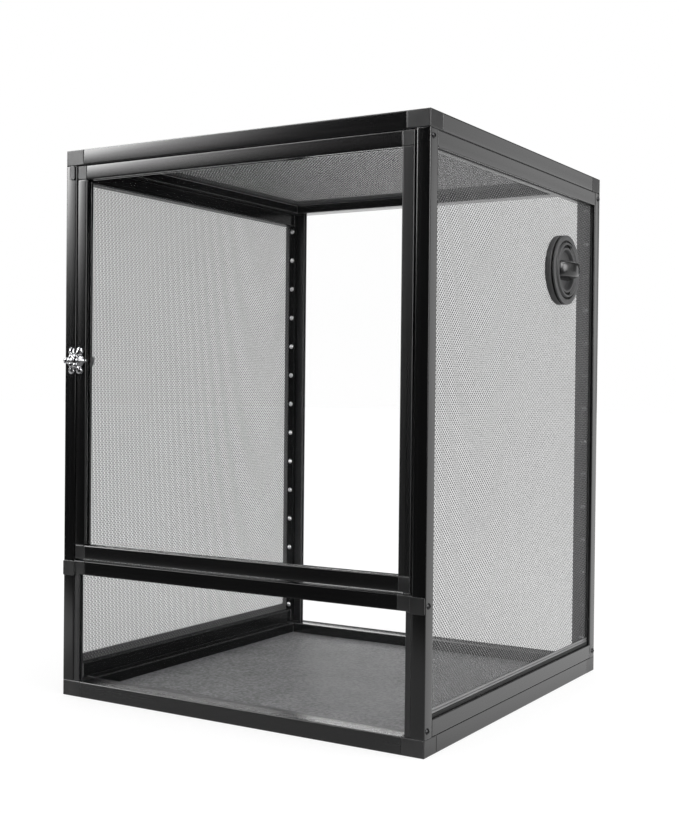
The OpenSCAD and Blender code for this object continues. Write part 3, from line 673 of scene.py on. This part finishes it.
@dataclass
class WovenScreen:
    """A woven screen in its frame's groove, which stands for the node's wide net.

    The strands of one direction are crimped over and under the straight ones of the other. A hole in it has a
    place along Y and Z and a radius.
    """

    node: str
    crimped: Axis
    straight: Axis
    # sign along the normal of the side whose crests get the painted highlight
    outward: float
    finish: StrandFinish
    gap_crimped: float = 2.4 * MM
    gap_straight: float = 2.2 * MM
    width: float = 1.3 * MM
    width_straight: float = 0.4 * MM
    thickness: float = 0.3 * MM
    crimp: float = 0.5 * MM
    sides: int = 4
    hole: Triple | None = None

    def __post_init__(self) -> None:
        """Reads the screen's box off the frame and fits the finish to its crests."""
        self.low, self.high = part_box(self.node)
        self.normal = next(axis for axis in Axis if axis not in (self.crimped, self.straight))
        self.middle = (self.low[self.normal.value] + self.high[self.normal.value]) / 2.0
        # Crests on that side get the painted highlight, and valleys get the painted shade.
        rise = self.outward * (self.crimp + self.thickness / 2.0)
        ends = {"valley": self.middle - rise, "crest": self.middle + rise}
        self.finish = replace(self.finish, normal=self.normal, **ends)

    def _places(self, axis: Axis, gap: float) -> list[float]:
        """Even places along an axis, with equal margins at both ends.

        Args:
            axis: the axis.
            gap: the spacing.

        Returns:
            The places.
        """
        low, high = self.low[axis.value], self.high[axis.value]
        count = int((high - low) / gap)
        start = (low + high - count * gap) / 2.0
        return [start + index * gap for index in range(count + 1)]

    def _strands(self, name: str, along: Axis, across: Axis, stops: Floats, places: Floats,
                 width: float, crimp: float) -> None:
        """Makes a piece of like strands, spun straight, then crimped and cut by the hole.

        Args:
            name: the end of the piece's name.
            along: the axis that they run along.
            across: the axis that they are spread over.
            stops: even places where a strand crosses those of the other direction.
            places: even places of the strands.
            width: a strand's width.
            crimp: its rise at the first stop, which changes sides at each next one.
        """
        bm = bmesh.new()
        start = along.unit * stops[0] + across.unit * places[0] + self.normal.unit * self.middle
        for vert in bmesh.ops.create_circle(bm, segments=self.sides, radius=0.5)["verts"]:
            flat = vert.co.copy()
            vert.co = start + across.unit * flat.x * width + self.normal.unit * flat.y * self.thickness
        about = {"cent": ORIGIN, "axis": UP, "angle": 0.0}
        gap = stops[1] - stops[0]
        profile = bm.verts[:] + bm.edges[:]
        bmesh.ops.spin(bm, geom=profile, dvec=along.unit * gap, steps=len(stops) - 1, **about)
        for vert in bm.verts:
            turns = round((vert.co[along.value] - stops[0]) / gap)
            vert.co += self.normal.unit * crimp * (-1.0) ** turns
        bmesh.ops.spin(bm, geom=bm.verts[:] + bm.edges[:] + bm.faces[:], use_duplicate=True,
                       dvec=across.unit * (places[1] - places[0]), steps=len(places) - 1, **about)
        if self.hole is not None:
            y, z, radius = self.hole
            inside = [vert for vert in bm.verts if math.hypot(vert.co.y - y, vert.co.z - z) < radius]
            bmesh.ops.delete(bm, geom=inside, context="VERTS")
        bmesh.ops.recalc_face_normals(bm, faces=bm.faces[:])
        replaced = (self.node,) if name == "over" else ()
        piece_from(bm, f"{self.node}_{name}", (self.finish,), Body.CAGE, replaced, smooth_angle=180.0)

    def build(self) -> None:
        """Makes the crimped strands of both phases and the straight ones."""
        stops = self._places(self.crimped, self.gap_straight)
        places = self._places(self.straight, self.gap_crimped)
        weave = (self.crimped, self.straight, stops)
        self._strands("over", *weave, places[0::2], self.width, self.crimp)
        self._strands("under", *weave, places[1::2], self.width, -self.crimp)
        ends = (places[0], places[-1])
        self._strands("across", self.straight, self.crimped, ends, stops, self.width_straight, 0.0)


@dataclass
class PanelScrews:
    """Pan-head screws through the side panels, with cross recesses, which stand for the node."""

    node: str = "panel_screws"
    head_r: float = 3.2 * MM
    head_h: float = 2.0 * MM
    head_rows: int = 8
    head_steps: int = 32
    recess_w: float = 0.9 * MM
    recess_len: float = 3.4 * MM
    recess_deep: float = 1.2 * MM
    end_z: float = 25.0 * MM
    bracket_z: float = 143.0 * MM
    inset: float = 6.0 * MM
    turn_next: float = 0.7
    turn_side: float = 0.3

    def _head(self) -> Mesh:
        """One head with its flat side at z = 0, cut by a cross.

        Returns:
            The head's mesh.
        """
        dome_r = (self.head_r ** 2 + self.head_h ** 2) / (2.0 * self.head_h)
        reach = math.asin(self.head_r / dome_r)
        outline = [(0.0, 0.0)]
        for row in range(self.head_rows + 1):
            angle = reach * (1.0 - row / self.head_rows)
            outline.append((dome_r * math.sin(angle), self.head_h - dome_r * (1.0 - math.cos(angle))))
        bm = turned(outline, self.head_steps)
        cross = bmesh.new()
        for size in ((self.recess_len, self.recess_w), (self.recess_w, self.recess_len)):
            boxed(cross, (*size, 2.0 * self.recess_deep), (0.0, 0.0, self.head_h))
        head = in_scene(bm, "screw_head")
        cutter = in_scene(cross, "recess")
        cut = head.modifiers.new("recess", "BOOLEAN")
        cut.object = cutter
        cut.operation = "DIFFERENCE"
        cut.solver = "EXACT"
        cut.use_self = True
        return worked(head, cutter)

    def build(self) -> None:
        """Makes the screws and lets them stand for their node."""
        low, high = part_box("left_front_stile")
        cage_low, cage_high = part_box("bottom_corner_blocks")
        top = high.z + low.z
        front = cage_low.y + self.inset
        rear = cage_high.y - self.inset
        places = [(front, self.end_z), (front, self.bracket_z), (front, top - self.end_z), (rear, self.end_z),
                  (rear, top - self.end_z)]
        head = self._head()
        bm = bmesh.new()
        for side in (-1.0, 1.0):
            for index, (y, z) in enumerate(places):
                spin = Matrix.Rotation(self.turn_next * index + self.turn_side * side, 4, "Z")
                lay = Matrix.Rotation(side * QUARTER, 4, "Y")
                screw = head.copy()
                screw.transform(at((side * cage_high.x, y, z)) @ lay @ spin)
                merge(bm, screw)
        head.free()
        piece_from(bm, "panel_screw_heads", (SCREW,), Body.CAGE, (self.node,), smooth_angle=40.0)


@dataclass
class HingeWasher:
    """The washer on the door's lower pivot pin, which keeps the door off the bracket."""

    rim_r: float = 4.6 * MM
    play: float = 0.15 * MM
    play_above: float = 0.05 * MM
    edge_round: float = 0.25 * MM
    steps: int = 48

    def build(self) -> None:
        """Makes the washer; it turns with the door."""
        pin_low, pin_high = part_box("hinge_pins")
        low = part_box("mid_right_bracket")[1].z + self.play
        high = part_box("door_hinge_blocks")[0].z - self.play_above
        bore = (pin_high.x - pin_low.x) / 2.0 + self.play
        bm = turned([(bore, low), (self.rim_r, low), (self.rim_r, high), (bore, high)], self.steps)
        soften(bm, self.edge_round, segments=2)
        middle = (pin_low + pin_high) / 2.0
        bmesh.ops.translate(bm, vec=(middle.x, middle.y, 0.0), verts=bm.verts[:])
        piece_from(bm, "hinge_washer", (SPLINE,), Body.DOOR)


@dataclass
class FeedPort:
    """The twist-lock feed port: flange, ring, clamp ring and plug, which stand for their nodes."""

    steps: int = 120
    gap: float = 0.35 * MM
    wall: float = 3.0 * MM
    hole_play: float = 2.5 * MM
    neck_in: float = 5.0 * MM
    groove_t: float = 2.0 * MM
    flange_round: float = 0.6 * MM
    shade_in: float = 0.4 * MM
    hair: float = 0.1 * MM
    lip_t: float = 1.5 * MM
    lip_w: float = 5.2 * MM
    lip_top: Pair = (0.5 * MM, 2.6 * MM)
    lip_foot: float = 1.4 * MM
    trough_w: float = 2.4 * MM
    trough_deep: float = 2.0 * MM
    ring_round: float = 0.3 * MM
    notch_angle: float = 23.0
    notch_deep: float = 2.7 * MM
    scallops: float = 12.0
    scallop_deep: float = 0.8 * MM
    clamp_round: float = 0.4 * MM
    plug_rim: float = 2.6 * MM
    dish_deep: float = 5.9 * MM
    dish_slope: Pair = (1.4 * MM, 1.6 * MM)
    dish_foot: float = 4.0 * MM
    dish_round: float = 0.5 * MM
    grip_cuts: int = 15
    grip_w: float = 17.9 * MM
    grip_crown: float = 6.2 * MM
    grip_arch_r: float = 28.6 * MM
    grip_square: float = 0.7
    grip_draft: float = 2.6 * MM
    grip_taper: Pair = (0.06, 0.04)
    grip_sunk: float = 0.5 * MM
    grip_into_rim: float = 0.4 * MM
    grip_round: float = 1.0 * MM

    def __post_init__(self) -> None:
        """Reads the port's place and main sizes off the frame."""
        self.flange_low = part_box("port_flange")[0]
        self.ring_low, self.ring_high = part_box("port_ring")
        self.plug_low, self.plug_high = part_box("port_plug")
        self.clamp_low, self.clamp_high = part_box("port_clamp_ring")
        self.screen_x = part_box("right_mesh")[1].x
        middle = (self.ring_low + self.ring_high) / 2.0
        self.centre = Vector((0.0, middle.y, middle.z))
        self.outer_r = (self.ring_high.y - self.ring_low.y) / 2.0
        self.plug_r = (self.plug_high.z - self.plug_low.z) / 2.0
        self.tube_r = self.plug_r + self.wall
        self.bore_r = self.plug_r + self.gap
        self.face = self.ring_high.x - self.lip_t
        self.hole = (middle.y, middle.z, self.tube_r + self.hole_play)

    def _stand(self, bm: Mesh) -> None:
        """Turns a mesh made about Z, with heights along X of the frame, onto the port's axis."""
        axis = Matrix((UP, (1.0, 0.0, 0.0), (0.0, 1.0, 0.0))).to_4x4()
        bmesh.ops.transform(bm, matrix=at(self.centre) @ axis, verts=bm.verts[:])

    def _shade(self, bm: Mesh, low: float, high: float) -> None:
        """Gives the faces inside a groove or gap the shaded finish, but for those at the rim.

        Args:
            bm: the mesh about Z.
            low: height where the gap begins.
            high: height where it ends.
        """
        for face in bm.faces:
            middle = face.calc_center_median()
            if low < middle.z < high and middle.xy.length < self.outer_r - self.shade_in:
                face.material_index = 1

    def _flange(self) -> None:
        """The grained flange outside the screen, with its neck and the tube through the screen."""
        neck_r = self.outer_r - self.neck_in
        shoulder = self.ring_low.x - self.groove_t
        bm = turned([(self.bore_r, self.flange_low.x), (self.tube_r, self.flange_low.x),
                     (self.tube_r, self.screen_x), (self.outer_r, self.screen_x), (self.outer_r, shoulder),
                     (neck_r, shoulder), (neck_r, self.ring_low.x), (self.bore_r, self.ring_low.x)],
                    self.steps)
        soften(bm, self.flange_round)
        self._shade(bm, shoulder - self.hair, math.inf)
        self._stand(bm)
        piece_from(bm, "port_flange_turned", (PORT_RIM, PORT_GAP), Body.CAGE, ("port_flange",))

    def _ring(self) -> None:
        """The front ring: an outer land, a trough, a raised lip and two notches for the plug's lugs."""
        lip_r = self.bore_r + self.lip_w
        land_r = lip_r + self.trough_w
        foot_r = self.bore_r + self.lip_foot
        bottom = self.face - self.trough_deep
        bm = turned([(self.bore_r, self.ring_low.x), (self.outer_r, self.ring_low.x),
                     (self.outer_r, self.face), (land_r, self.face), (land_r, bottom), (lip_r, bottom),
                     *((lip_r - inward, self.ring_high.x) for inward in self.lip_top),
                     (foot_r, self.face), (self.bore_r, self.face)], self.steps)
        for vert in bm.verts:
            angle = math.degrees(math.atan2(vert.co.y, vert.co.x))
            radius = vert.co.xy.length
            if abs(abs(angle) - 90.0) < self.notch_angle and radius < foot_r + self.hair:
                vert.co.xy *= (radius + self.notch_deep) / radius
        soften(bm, self.ring_round, segments=2)
        self._shade(bm, -math.inf, self.face - self.ring_round)
        self._stand(bm)
        piece_from(bm, "port_ring_turned", (PORT_RIM, PORT_GAP), Body.CAGE, ("port_ring",))

    def _clamp(self) -> None:
        """The ring inside the cage, with finger scallops round its edge."""
        outer = (self.clamp_high.y - self.clamp_low.y) / 2.0
        bm = turned([(self.tube_r, self.clamp_low.x), (outer, self.clamp_low.x), (outer, self.clamp_high.x),
                     (self.tube_r, self.clamp_high.x)], self.steps)
        for vert in bm.verts:
            radius = vert.co.xy.length
            if radius > outer - self.hair:
                wave = max(0.0, math.cos(self.scallops * math.atan2(vert.co.y, vert.co.x))) ** 2
                vert.co.xy *= 1.0 - self.scallop_deep / radius * wave
        soften(bm, self.clamp_round)
        self._stand(bm)
        piece_from(bm, "port_clamp_turned", (PORT_RIM,), Body.CAGE, ("port_clamp_ring",))

    def _dish(self) -> None:
        """The plug's round body with its dished face."""
        rim = self.plug_r - self.plug_rim
        bottom = self.face - self.dish_deep
        inward, above = self.dish_slope
        bm = turned([(0.0, self.plug_low.x), (self.plug_r, self.plug_low.x), (self.plug_r, self.face),
                     (rim, self.face), (rim - inward, bottom + above), (rim - self.dish_foot, bottom),
                     (0.0, bottom)], self.steps)
        soften(bm, self.dish_round)
        self._stand(bm)
        piece_from(bm, "port_plug_dish", (PORT_RIM,), Body.FEED_PLUG, ("port_plug",))

    def _grip(self) -> None:
        """The grip across the dish: straight flanks, a half-round top and an arched back."""
        bm = bmesh.new()
        boxed(bm, (2.0, 2.0, 2.0), ORIGIN)
        bmesh.ops.subdivide_edges(bm, edges=bm.edges[:], cuts=self.grip_cuts, use_grid_fill=True)
        reach = self.plug_r - self.plug_rim + self.grip_into_rim
        bottom = self.face - self.dish_deep - self.grip_sunk
        nearly_one = 0.999
        for vert in bm.verts:
            along, across, rise = vert.co
            out = reach * along * (1.0 - self.grip_taper[0] * max(0.0, rise) ** 2)
            top = self.plug_high.x - self.grip_arch_r + math.sqrt(self.grip_arch_r ** 2 - out * out)
            half = self.grip_w / 2.0 * (1.0 - self.grip_taper[1] * along * along)
            shoulder = top - self.grip_crown
            angle = across * QUARTER
            if rise > nearly_one:
                aside = math.copysign(abs(math.sin(angle)) ** self.grip_square, across)
                above = max(0.0, math.cos(angle)) ** self.grip_square
                vert.co = (out, half * aside, shoulder + self.grip_crown * above)
            else:
                share = (rise + 1.0) / 2.0
                half += self.grip_draft * (1.0 - share)
                inward = math.cos(angle) * self.grip_crown * share if abs(along) > nearly_one else 0.0
                vert.co = (out, half * across, bottom + (shoulder - bottom) * share + inward)
        bmesh.ops.recalc_face_normals(bm, faces=bm.faces[:])
        soften(bm, self.grip_round, least_angle=50.0, segments=4)
        self._stand(bm)
        piece_from(bm, "port_plug_grip", (PORT_SMOOTH,), Body.FEED_PLUG, smooth_angle=60.0)

    def build(self) -> None:
        """Makes the port's pieces."""
        for make in (self._flange, self._ring, self._clamp, self._dish, self._grip):
            make()


@dataclass
class TurnLatch:
    """The cast tortoise-shaped knob of the latch, which stands for its node."""

    node: str = "latch_knob"
    shell: Triple = (11.2 * MM, 8.4 * MM, 6.2 * MM)
    shell_z: float = 2.2 * MM
    shell_cuts: int = 4
    rim_r: float = 1.1 * MM
    rim_sides: int = 8
    rim_steps: int = 48
    scutes: int = 6
    scute_r: float = 2.8 * MM
    scute_ring: float = 0.6
    scute_flat: float = 0.55
    scute_sunk: float = 0.5 * MM
    stem_r: float = 4.0 * MM
    stem_h: float = 3.0 * MM
    stem_steps: int = 24
    spindle_r: float = 2.4 * MM
    spindle_steps: int = 32
    leg_r: float = 3.6 * MM
    leg_taper: float = 0.4 * MM
    leg_reach: float = 12.6 * MM
    leg_angles: tuple[float, ...] = (62.0, 118.0, 242.0, 298.0)
    foot_r: float = 4.5 * MM
    foot_in: float = 0.6 * MM
    foot_z: float = 1.9 * MM
    foot_flat: float = 0.72
    head_r: float = 3.7 * MM
    head_out: float = 12.4 * MM
    head_form: Triple = (1.1, 0.95, 0.85)
    eye_r: float = 0.9 * MM
    eye_steps: tuple[int, int] = (12, 8)
    eye_from_head: Triple = (-1.2 * MM, 2.0 * MM, 5.4 * MM)
    neck_r: float = 2.6 * MM
    neck_z: float = 2.8 * MM
    tail_r: float = 2.2 * MM
    tail_out: float = 15.0 * MM
    tail_z: float = 3.0 * MM
    tail_steps: tuple[int, int] = (16, 10)
    voxel: float = 0.32 * MM
    even_share: float = 0.5
    even_rounds: int = 4

    def __post_init__(self) -> None:
        """Reads the pivot's place off the frame."""
        joint = next(j for j in frame["joints"] if j["child"] == Body.LATCH.value)
        self.pivot = joint["pos_m"]
        self.low, self.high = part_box(self.node)

    def _angles(self, count: int) -> list[float]:
        """Even angles round a full turn, in radians."""
        return [math.radians(FULL_TURN / count * step) for step in range(count)]

    def _limbs(self, bm: Mesh) -> None:
        """Adds the legs with their feet, the neck and the tail.

        Args:
            bm: the mesh to add to.
        """
        lay = Matrix.Rotation(QUARTER, 4, "Y")
        for angle in self.leg_angles:
            turn = Matrix.Rotation(math.radians(angle), 4, "Z")
            leg = turn @ at((self.leg_reach / 2.0, 0.0, self.shell_z)) @ lay
            rod(bm, self.leg_r, self.leg_reach, leg, taper=self.leg_taper)
            foot = at((self.leg_reach - self.foot_in, 0.0, self.foot_z), (1.0, 1.0, self.foot_flat))
            ball(bm, self.foot_r, turn @ foot)
        rod(bm, self.neck_r, self.head_out, at((-self.head_out / 2.0, 0.0, self.neck_z)) @ lay)
        rod(bm, self.tail_r, self.tail_out, at((self.tail_out / 2.0, 0.0, self.tail_z)) @ lay)
        ball(bm, self.tail_r, at((self.tail_out, 0.0, self.tail_z)), self.tail_steps)

    def _casting(self) -> Mesh:
        """The knob's overlapping forms, about the pivot along Z.

        Returns:
            The mesh before it is fused.
        """
        upper = bmesh.new()
        self._limbs(upper)
        dome = at((0.0, 0.0, self.shell_z), self.shell)
        bmesh.ops.create_icosphere(upper, subdivisions=self.shell_cuts, radius=1.0, matrix=dome)
        ball(upper, self.head_r, at((-self.head_out, 0.0, self.tail_z), self.head_form))
        along, aside, above = self.eye_from_head
        for side in (-1.0, 1.0):
            ball(upper, self.eye_r, at((along - self.head_out, side * aside, above)), self.eye_steps)
        bmesh.ops.translate(upper, vec=(0.0, 0.0, self.stem_h), verts=upper.verts[:])
        bm = bmesh.new()
        rod(bm, self.stem_r, 2.0 * self.stem_h, at((0.0, 0.0, self.stem_h)), self.stem_steps)
        merge(bm, upper)
        return bm

    def _scutes(self) -> Mesh:
        """The shell's rolled rim, with one round plate at its middle and six about it.

        Returns:
            The plates' mesh.
        """
        length, width, height = self.shell
        base = self.stem_h + self.shell_z
        bm = turned([(length + self.rim_r * math.cos(t), self.rim_r * math.sin(t))
                     for t in self._angles(self.rim_sides)], self.rim_steps)
        bmesh.ops.transform(bm, matrix=at((0.0, 0.0, base), (1.0, width / length, 1.0)), verts=bm.verts[:])
        ring = [(self.scute_ring, angle) for angle in self._angles(self.scutes)]
        for reach, angle in [(0.0, 0.0), *ring]:
            rise = base + height * math.sqrt(1.0 - reach * reach) - self.scute_sunk
            spot = (length * reach * math.cos(angle), width * reach * math.sin(angle), rise)
            ball(bm, self.scute_r, at(spot, (1.0, 1.0, self.scute_flat)))
        return bm

    def build(self) -> None:
        """Fuses the casting, sets it on the door and lets it stand for its node."""
        bm = self._casting()
        merge(bm, self._scutes())
        rough = in_scene(bm, "casting")
        fuse = rough.modifiers.new("fuse", "REMESH")
        fuse.mode = "VOXEL"
        fuse.voxel_size = self.voxel
        even = rough.modifiers.new("even", "SMOOTH")
        even.factor = self.even_share
        even.iterations = self.even_rounds
        cast = worked(rough)
        gap = self.high.y - self.low.y - max(vert.co.z for vert in cast.verts)
        rod(cast, self.spindle_r, gap, at((0.0, 0.0, -gap / 2.0)), self.spindle_steps)
        outwards = Matrix(((1.0, 0.0, 0.0), (0.0, 0.0, -1.0), (0.0, 1.0, 0.0))).to_4x4()
        foot = at((self.pivot[0], self.high.y - gap, self.pivot[2]))
        bmesh.ops.transform(cast, matrix=foot @ outwards, verts=cast.verts[:])
        piece_from(cast, "latch_knob_casting", (CHROME,), Body.LATCH, (self.node,), smooth_angle=50.0)


# Studio


@dataclass(frozen=True)
class Panel:
    """A bright panel of the surround: its direction, how far it is full, where it ends, and its strength."""

    azimuth: float
    elevation: float
    full: float
    edge: float
    strength: float


@dataclass(frozen=True)
class Lamp:
    """A soft square lamp that lights the cage but leaves no spot in its gloss; its power is in watts."""

    name: str
    place: Triple
    aim: Triple
    size: float
    power: float

    def hang(self) -> None:
        """Puts the lamp in the scene."""
        data = bpy.data.lights.new(self.name, "AREA")
        data.size = self.size
        data.energy = self.power
        lamp = bpy.data.objects.new(self.name, data)
        bpy.context.scene.collection.objects.link(lamp)
        lamp.location = self.place
        lamp.rotation_euler = (Vector(self.aim) - Vector(self.place)).to_track_quat("-Z", "Y").to_euler()
        lamp.visible_glossy = False


@dataclass
class Studio:
    """The camera at the photograph's angle, the floor, the lights and the white background.

    The floor's gloss is what the cage mirrors of it: in front, to the left, to the right and far off.
    """

    eye: Triple = (0.7701, -1.2766, 0.3453)
    azimuth: float = 31.334
    look_down: float = 0.740
    roll: float = 0.585
    lens: float = 66.84
    sensor: float = 36.0
    nearest: float = 0.01
    ambient: float = 0.85
    lamps: tuple[Lamp, ...] = (
        Lamp("right_lamp", place=(2.4, 0.4, 1.2), aim=(0.0, 0.0, 0.3), size=1.6, power=22.0),
        Lamp("top_lamp", place=(0.2, -0.3, 2.4), aim=ORIGIN, size=2.0, power=12.0),
    )
    room: float = 0.04
    panels: tuple[Panel, ...] = (
        Panel(-127.0, 18.0, 9.3, 13.5, 13.0), Panel(-136.5, 13.0, 1.0, 9.5, 3.6),
        Panel(-129.0, 38.0, 6.0, 14.0, 12.0), Panel(150.0, 22.0, 11.0, 17.0, 10.0),
        Panel(28.0, 2.0, 6.0, 16.0, 1.4), Panel(-20.0, 45.0, 15.0, 32.0, 1.4),
        Panel(95.0, 25.0, 15.0, 40.0, 1.0), Panel(114.0, 55.0, 8.0, 17.0, 10.0),
        Panel(-36.0, 21.0, 7.0, 12.0, 2.3), Panel(115.0, 14.0, 7.0, 22.0, 8.0),
        Panel(-65.0, 15.0, 4.0, 12.0, 4.0), Panel(-76.0, 46.0, 5.0, 15.0, 9.0),
    )
    floor_half: float = 20.0
    floor_drop: float = 0.2 * MM
    floor_tone: float = 0.3
    floor_seen: float = 0.76
    floor_bounce: float = 0.45
    gloss_left: Pair = (1.1, 0.55)
    gloss_left_x: Pair = (-0.48, -0.3)
    gloss_near_y: Pair = (-0.88, -0.58)
    gloss_right: float = 0.7
    gloss_right_x: Pair = (0.15, 0.3)
    gloss_right_y: Pair = (-0.4, -0.1)
    gloss_far: float = 0.05

    def camera(self) -> None:
        """Sets the camera up from its place and its three angles."""
        data = bpy.data.cameras.new("view")
        data.sensor_fit = "HORIZONTAL"
        data.sensor_width = self.sensor
        data.lens = self.lens
        data.clip_start = self.nearest
        camera = bpy.data.objects.new("view", data)
        bpy.context.scene.collection.objects.link(camera)
        turn, tilt, lean = map(math.radians, (self.azimuth, self.look_down, self.roll))
        swing = Matrix.Rotation(turn, 4, "Z") @ Matrix.Rotation(QUARTER - tilt, 4, "X")
        camera.matrix_world = at(self.eye) @ swing @ Matrix.Rotation(lean, 4, "Z")
        bpy.context.scene.camera = camera

    def world(self) -> None:
        """A pale surround that lights the cage; its gloss sees a dim room with bright panels."""
        world = bpy.data.worlds.new("surround")
        world.use_nodes = True
        bpy.context.scene.world = world
        bench = Bench(world.node_tree)
        path = bench.add("LightPath").outputs
        way = bench.add("TexCoord").outputs["Generated"]
        strength = self.room
        for panel in self.panels:
            turn, rise = math.radians(panel.azimuth), math.radians(panel.elevation)
            aim = (math.sin(turn) * math.cos(rise), math.cos(turn) * math.cos(rise), math.sin(rise))
            ends = (math.cos(math.radians(panel.edge)), math.cos(math.radians(panel.full)))
            glow = bench.span(bench.dot(way, aim), ends, (0.0, panel.strength), smooth=True)
            strength = bench.math("ADD", strength, glow)
        lit, gloss, seen = (bench.add("Background", WHITE, level).outputs["Background"]
                            for level in (self.ambient, strength, 1.0))
        through = bench.math("MAXIMUM", path["Is Camera Ray"], path["Is Transmission Ray"])
        unseen = bench.choose(path["Is Glossy Ray"], lit, gloss)
        bench.feed(world.node_tree.nodes["World Output"], "Surface", bench.choose(through, unseen, seen))

    def _mirrored(self, bench: Bench) -> Socket:
        """How bright the floor is in the cage's gloss.

        Args:
            bench: the floor's bench.

        Returns:
            The strength's socket.
        """
        spot = bench.add("SeparateXYZ", bench.place()).outputs
        near = bench.span(spot["Y"], self.gloss_near_y, smooth=True)
        left = bench.span(spot["X"], self.gloss_left_x, self.gloss_left, smooth=True)
        ahead = bench.math("MULTIPLY_ADD", near, left, self.gloss_far)
        aside = bench.span(spot["X"], self.gloss_right_x, (0.0, self.gloss_right), smooth=True)
        behind = bench.span(spot["Y"], self.gloss_right_y, smooth=True)
        return bench.math("MULTIPLY_ADD", aside, behind, ahead)

    def floor(self) -> None:
        """A white floor that shows as white to the camera and keeps a soft shadow."""
        material = bpy.data.materials.new("white_floor")
        material.use_nodes = True
        bench = Bench(material.node_tree)
        tone = (self.floor_tone, self.floor_tone, self.floor_tone, 1.0)
        bench.set(bench.shader, Base_Color=tone, Roughness=1.0, Specular_IOR_Level=0.0)
        path = bench.add("LightPath").outputs
        bounced = bench.math("MULTIPLY", path["Is Diffuse Ray"], self.floor_bounce)
        shown = bench.math("MULTIPLY_ADD", path["Is Camera Ray"], self.floor_seen, bounced)
        glow, mirrored = (bench.add("Emission", WHITE, level).outputs["Emission"]
                          for level in (shown, self._mirrored(bench)))
        both = bench.add("AddShader", bench.shader.outputs["BSDF"], glow).outputs["Shader"]
        output = material.node_tree.nodes["Material Output"]
        bench.feed(output, "Surface", bench.choose(path["Is Glossy Ray"], both, mirrored))
        bm = bmesh.new()
        bmesh.ops.create_grid(bm, x_segments=1, y_segments=1, size=self.floor_half)
        floor = in_scene(bm, "floor")
        floor.data.materials.append(material)
        floor.location.z = -self.floor_drop

    def build(self) -> None:
        """Sets the whole studio up."""
        bpy.context.scene.view_settings.view_transform = "Standard"
        self.camera()
        for lamp in self.lamps:
            lamp.hang()
        self.world()
        self.floor()


def main() -> None:
    """Builds the pieces in order."""
    logging.basicConfig(level=logging.INFO, format="%(message)s")
    Studio().build()
    FrameDress().dress()
    port = FeedPort()
    WovenScreen("left_mesh", Axis.Z, Axis.Y, 1.0, LEFT_WIRE).build()
    WovenScreen("right_mesh", Axis.Z, Axis.Y, 1.0, RIGHT_WIRE, hole=port.hole).build()
    WovenScreen("top_mesh", Axis.X, Axis.Y, -1.0, TOP_WIRE, width=1.6 * MM, width_straight=0.9 * MM).build()
    PanelScrews().build()
    HingeWasher().build()
    port.build()
    TurnLatch().build()


if __name__ == "__main__":
    main()
